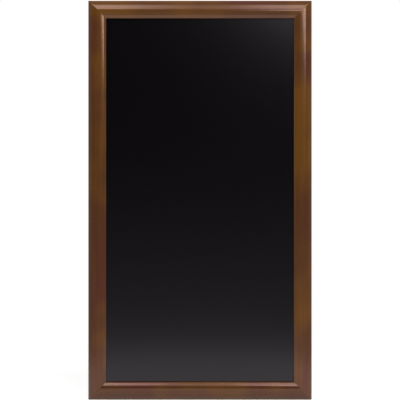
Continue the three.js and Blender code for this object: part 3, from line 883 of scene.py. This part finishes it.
def model_panel(node):
    """A flat board of the writing panel, with its cut edges just broken."""
    low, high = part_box(node)
    middle, size = ((low + high) / 2)[:], high - low
    deselect_all()
    bpy.ops.mesh.primitive_plane_add(size=1, location=middle)
    obj = bpy.context.active_object
    obj.name = obj.data.name = node
    edit(obj)
    bpy.ops.transform.rotate(value=math.pi / 2, orient_axis="X", center_override=middle)
    bpy.ops.transform.resize(value=(size.x, 1, size.z), center_override=middle)
    bpy.ops.transform.translate(value=(0, -size.y / 2, 0))
    extrude((0, size.y, 0))
    end_edit()
    bpy.ops.object.transform_apply(location=True, rotation=True, scale=True)
    bevel_edges(obj, PANEL_EDGES[node])
    return obj


# Operators


class CHALKBOARD_OT_frame_rails(bpy.types.Operator):
    """Models the four mitred rails, with the slots and holes of what is driven into them"""
    bl_idname = "chalkboard.frame_rails"
    bl_label = "Frame Rails"

    def execute(self, context):
        moulding = Moulding(context.scene.chalkboard_moulding)
        hardware = context.scene.chalkboard_hardware
        colours = context.scene.chalkboard_colours
        woods = {}
        for along_z, way in ((True, "upright"), (False, "level")):
            woods[along_z] = [stained_wood(f"{finish} walnut stain {way}", colours, along_z,
                                           finish == "lacquered") for finish in ("lacquered", "bare")]
        gap = hardware.tool_gap
        nail_tool, point_tool = model_v_nail(hardware, gap), model_point(hardware, gap)
        low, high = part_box("top_left_hanger_screw")
        half = (high.y - low.y) / 2 + 2 * gap
        screw_tool = hole_tool(hardware.screw_shank / 2 + gap, -half, half, hardware.turned_steps)
        for rail, turns in QUARTER_TURNS.items():
            obj = model_rail(rail, moulding)
            before = list(QUARTER_TURNS)[turns - 1]  # the rail that ends where this one starts
            tools = [seat(copy_piece(nail_tool, "slot"), end, f"{CORNERS[end]}_{place}_v_nail")
                     for end in (rail, before) for place in ("outer", "inner")]
            tools += [seat(copy_piece(point_tool, "slot"), rail, node) for node in point_nodes(rail)]
            tools += [seat(copy_piece(screw_tool, "hole"), rail, f"{hanger}_screw")
                      for hanger in HANGERS if HANGERS[hanger] == rail]
            cut(obj, join(tools))
            split_finish(obj, rail, moulding, woods[rail.endswith("stile")])
            finish_piece(obj, rail)
        delete(nail_tool, point_tool, screw_tool)
        return {"FINISHED"}


class CHALKBOARD_OT_writing_panel(bpy.types.Operator):
    """Models the black writing sheet and the hardboard behind it"""
    bl_idname = "chalkboard.writing_panel"
    bl_label = "Writing Panel"

    def execute(self, context):
        colours = context.scene.chalkboard_colours
        sheet, core = model_panel("writing_sheet"), model_panel("hardboard_core")
        finish_piece(sheet, "writing_sheet", writing_lacquer(colours))
        finish_piece(core, "hardboard_core", pressed_hardboard(colours))
        return {"FINISHED"}


class CHALKBOARD_OT_driven_steel(bpy.types.Operator):
    """Models a framer's point and a V-nail, and copies each to all of its places"""
    bl_idname = "chalkboard.driven_steel"
    bl_label = "Points and V-Nails"

    def execute(self, context):
        hardware = context.scene.chalkboard_hardware
        colours = context.scene.chalkboard_colours
        steel = plain_metal("rolled spring steel", colours.steel, smoothest=0.32, roughest=0.5,
                            streak=(0.4 * MM, 3 * MM, 0.4 * MM), relief=0.01 * MM)
        point, nail = model_point(hardware), model_v_nail(hardware)
        for rail, corner in CORNERS.items():
            for node in point_nodes(rail):
                finish_copy(point, rail, node, steel)
            for node in (f"{corner}_outer_v_nail", f"{corner}_inner_v_nail"):
                finish_copy(nail, rail, node, steel)
        delete(point, nail)
        return {"FINISHED"}


class CHALKBOARD_OT_hangers(bpy.types.Operator):
    """Models a strap, its swinging D-ring and its screw, and copies them to the four hangers"""
    bl_idname = "chalkboard.hangers"
    bl_label = "Hangers"

    def execute(self, context):
        hardware = context.scene.chalkboard_hardware
        colours = context.scene.chalkboard_colours
        zinc = plain_metal("bright zinc plate", colours.zinc, smoothest=0.2, roughest=0.34,
                           streak=(2.5 * MM, 2.5 * MM, 2.5 * MM), relief=0.012 * MM)
        pieces = {"strap": model_strap(hardware), "ring": model_ring(hardware),
                  "screw": model_screw(hardware)}
        for hanger, rail in HANGERS.items():
            for part, pattern in pieces.items():
                body = f"{hanger}_d_ring" if part == "ring" else "board"
                finish_copy(pattern, rail, f"{hanger}_{part}", zinc, body)
        delete(*pieces.values())
        return {"FINISHED"}


class CHALKBOARD_OT_bumpers(bpy.types.Operator):
    """Models a rubber bumper and copies it to the four corners of the back"""
    bl_idname = "chalkboard.bumpers"
    bl_label = "Bumpers"

    def execute(self, context):
        rubber = moulded_rubber(context.scene.chalkboard_colours)
        bumper = model_bumper(context.scene.chalkboard_hardware)
        for node in BUMPERS:
            finish_copy(bumper, "left_stile", node, rubber)
        delete(bumper)
        return {"FINISHED"}


# The photograph's frame, in pixels of its 400 by 400
PHOTO_SIZE = 400
PHOTO_TOP_ROW = 0.72
PHOTO_BOTTOM_ROW = 399.55
SENSOR = 36  # width of the camera's sensor, in mm as Blender takes it

# Each soft light: its name, place, the point it faces, width and height, radiance and roll in degrees
SOFTBOXES = (
    ("upper left softbox", (-1.84, -3.3, 3.45), (-1.84, 0, 0.15), (3.2, 2.8), 5.9, 0),
    ("upper right softbox", (1.84, -3.3, 3.45), (1.84, 0, 0.15), (3.2, 2.8), 5.2, 0),
    ("right softbox", (1.12, -2.15, 0.92), (0, 0, 0), (1.8, 0.35), 10.0, -13),
)

FLOOR_SIDES = 96
FLOOR_DROP = 0.5 * MM  # keeps the floor clear of the board's lower edge
FLOOR_GREY = 0.7
# Light that the floor gives of its own, to the camera and to what reflects it
CAMERA_LIFT = 0.35
MIRROR_LIFT = 0.45

# What reflections see of the room: white behind the board, dim white beside it and a dim floor below
# the horizon. Each row gives an axis, the ray's part along it at which the light begins and that at
# which it is full, its level and the form of its ramp.
ROOM = (("Y", -0.05, 0.25, 1.0, "SMOOTHSTEP"), ("Y", -0.6, -0.3, 0.4, "SMOOTHSTEP"),
        ("Z", -0.01, -0.07, 0.46, "LINEAR"))


def add_camera(settings, outline_height):
    """Square on, at the height and distance that put the board's ends on the photograph's rows. Its
    outline is where the flat outer side ends, at a height above the back."""
    nearest = BACK - outline_height
    per_pixel = 2 * HALF_HEIGHT / (PHOTO_BOTTOM_ROW - PHOTO_TOP_ROW)
    height = ((PHOTO_TOP_ROW + PHOTO_BOTTOM_ROW) / 2 - PHOTO_SIZE / 2) * per_pixel
    bpy.ops.object.camera_add(location=(0, nearest - settings.camera_distance, height),
                              rotation=(math.pi / 2, 0, 0))
    camera = bpy.context.active_object
    camera.name = "camera"
    camera.data.sensor_width = SENSOR
    camera.data.lens = SENSOR * settings.camera_distance / (PHOTO_SIZE * per_pixel)
    bpy.context.scene.camera = camera


def add_softbox(name, place, aim, size, radiance, roll):
    """A rectangular soft light of an even radiance, facing a point and rolled by some degrees."""
    bpy.ops.object.light_add(type="AREA", location=place)
    lamp = bpy.context.active_object
    lamp.name = name
    lamp.data.shape = "RECTANGLE"
    lamp.data.size, lamp.data.size_y = size
    lamp.data.energy = radiance * math.pi * size[0] * size[1]
    lamp.visible_camera = False
    facing = (Vector(aim) - Vector(place)).to_track_quat("-Z", "Y").to_matrix().to_4x4()
    lamp.rotation_euler = (facing @ Matrix.Rotation(math.radians(roll), 4, "Z")).to_euler()


def ray_kinds(tree):
    """Whether a ray comes from the camera, and whether a gloss or a clear surface has sent it on."""
    path = add_node(tree, "LightPath", {})
    mirrored = add_node(tree, "Math", {0: path["Is Glossy Ray"], 1: path["Is Transmission Ray"]},
                        operation="MAXIMUM")[0]
    return path["Is Camera Ray"], mirrored


def white_floor():
    """White painted board. To the camera and, by a little more, to reflections it is lifted towards
    the background's white, and it keeps the object's shadow."""
    material, tree = new_material("white floor")
    seen, mirrored = ray_kinds(tree)
    mirror_lift = add_node(tree, "Math", {0: mirrored, 1: MIRROR_LIFT}, operation="MULTIPLY")[0]
    lift = add_node(tree, "Math", {0: seen, 1: CAMERA_LIFT, 2: mirror_lift},
                    operation="MULTIPLY_ADD")[0]
    matt = add_node(tree, "BsdfDiffuse", {"Color": opaque([FLOOR_GREY] * 3)})[0]
    glow = add_node(tree, "Emission", {"Color": (1, 1, 1, 1), "Strength": lift})[0]
    both = add_node(tree, "AddShader", {0: matt, 1: glow})[0]
    add_node(tree, "OutputMaterial", {"Surface": both})
    return material


def studio_world(ambient):
    """White all round to the camera. Reflections see the room as its table says, dark in front of the
    board, and matt surfaces get an even soft light."""
    world = bpy.data.worlds.new("studio")
    bpy.context.scene.world = world
    world.use_nodes = True
    tree = world.node_tree
    tree.nodes.clear()
    seen, mirrored = ray_kinds(tree)
    ray = add_node(tree, "SeparateXYZ", {0: add_node(tree, "TexCoord", {})["Generated"]})
    strength = add_node(tree, "MapRange", {"Value": mirrored, "To Min": ambient, "To Max": 0.0})[0]
    for axis, start, end, level, ramp in ROOM:
        part = add_node(tree, "MapRange", {"Value": ray[axis], "From Min": start, "From Max": end,
                                           "To Max": level}, interpolation_type=ramp)[0]
        strength = add_node(tree, "Math", {0: strength, 1: part}, operation="MAXIMUM")[0]
    strength = add_node(tree, "Math", {0: strength, 1: seen}, operation="MAXIMUM")[0]
    light = add_node(tree, "Background", {"Color": (1, 1, 1, 1), "Strength": strength})[0]
    add_node(tree, "OutputWorld", {"Surface": light})


class CHALKBOARD_OT_stage(bpy.types.Operator):
    """Sets up the camera, the white floor, the soft lights and the surroundings"""
    bl_idname = "chalkboard.stage"
    bl_label = "Stage"

    def execute(self, context):
        settings = context.scene.chalkboard_stage
        add_camera(settings, Moulding(context.scene.chalkboard_moulding).edge_centre.y)
        deselect_all()
        bpy.ops.mesh.primitive_circle_add(vertices=FLOOR_SIDES, radius=settings.floor_radius,
                                          fill_type="NGON", location=(0, 0, -HALF_HEIGHT - FLOOR_DROP))
        floor = context.active_object
        floor.name = floor.data.name = "floor"
        floor.data.materials.append(white_floor())
        for softbox in SOFTBOXES:
            add_softbox(*softbox)
        studio_world(settings.ambient)
        context.scene.view_settings.view_transform = "Standard"
        return {"FINISHED"}


class CHALKBOARD_PT_pieces(bpy.types.Panel):
    """Lists the pieces of the chalkboard and its settings"""
    bl_idname = "CHALKBOARD_PT_pieces"
    bl_label = "Wall Chalkboard"
    bl_space_type = "VIEW_3D"
    bl_region_type = "UI"
    bl_category = "Chalkboard"

    def draw(self, context):
        layout = self.layout
        for operator in OPERATORS:
            layout.operator(operator.bl_idname)
        for group in SETTINGS:
            box = layout.box()
            box.label(text=group.removeprefix("chalkboard_").title())
            settings = getattr(context.scene, group)
            for name in settings.bl_rna.properties.keys():
                if name not in {"rna_type", "name"}:
                    box.prop(settings, name)


OPERATORS = (CHALKBOARD_OT_frame_rails, CHALKBOARD_OT_writing_panel, CHALKBOARD_OT_driven_steel,
             CHALKBOARD_OT_hangers, CHALKBOARD_OT_bumpers, CHALKBOARD_OT_stage)
SETTINGS = {"chalkboard_moulding": MouldingSizes, "chalkboard_hardware": HardwareSizes,
            "chalkboard_colours": FinishColours, "chalkboard_stage": StageSettings}


def register():
    for group in SETTINGS.values():
        bpy.utils.register_class(group)
    for operator in OPERATORS:
        bpy.utils.register_class(operator)
    bpy.utils.register_class(CHALKBOARD_PT_pieces)
    for name, group in SETTINGS.items():
        setattr(bpy.types.Scene, name, PointerProperty(type=group))


def unregister():
    for name in SETTINGS:
        delattr(bpy.types.Scene, name)
    bpy.utils.unregister_class(CHALKBOARD_PT_pieces)
    for cls in (*reversed(OPERATORS), *reversed(SETTINGS.values())):
        bpy.utils.unregister_class(cls)


def main():
    register()
    bpy.ops.chalkboard.frame_rails()
    bpy.ops.chalkboard.writing_panel()
    bpy.ops.chalkboard.driven_steel()
    bpy.ops.chalkboard.hangers()
    bpy.ops.chalkboard.bumpers()
    bpy.ops.chalkboard.stage()


if __name__ == "__main__":
    main()
